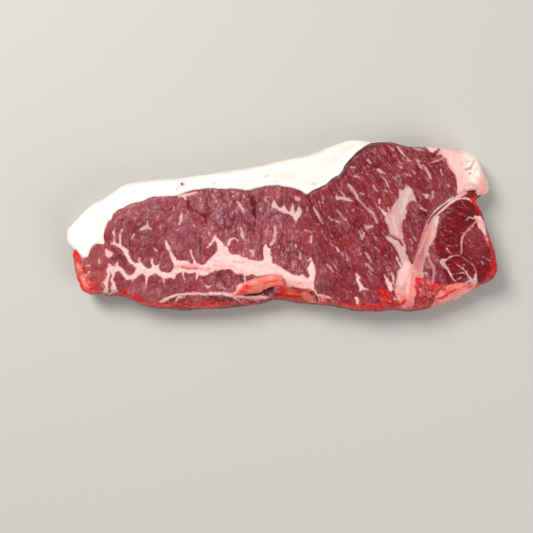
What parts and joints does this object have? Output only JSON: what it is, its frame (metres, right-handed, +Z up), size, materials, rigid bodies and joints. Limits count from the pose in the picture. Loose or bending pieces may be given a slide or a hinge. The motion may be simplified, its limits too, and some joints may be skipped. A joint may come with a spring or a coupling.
{
  "type": "raw sirloin steak",
  "caption": "Raw boneless sirloin steak lying flat: a long slab of marbled lean with a thick white fat cap along one side.",
  "frame": {"origin": "on the underside, at the centre of the bounding box", "axes": "+Z up, off the surface the steak lies on; +X along the steak, from the narrow tail to the broad end; +Y across it, towards the fat cap"},
  "size_m": [0.2342, 0.0942, 0.0196],
  "materials": {
    "raw_meat": "moist raw beef: dark red lean, creamy white marbling and fat cap"
  },
  "bodies": {
    "root": {"steak": "raw_meat"}
  },
  "joints": []
}
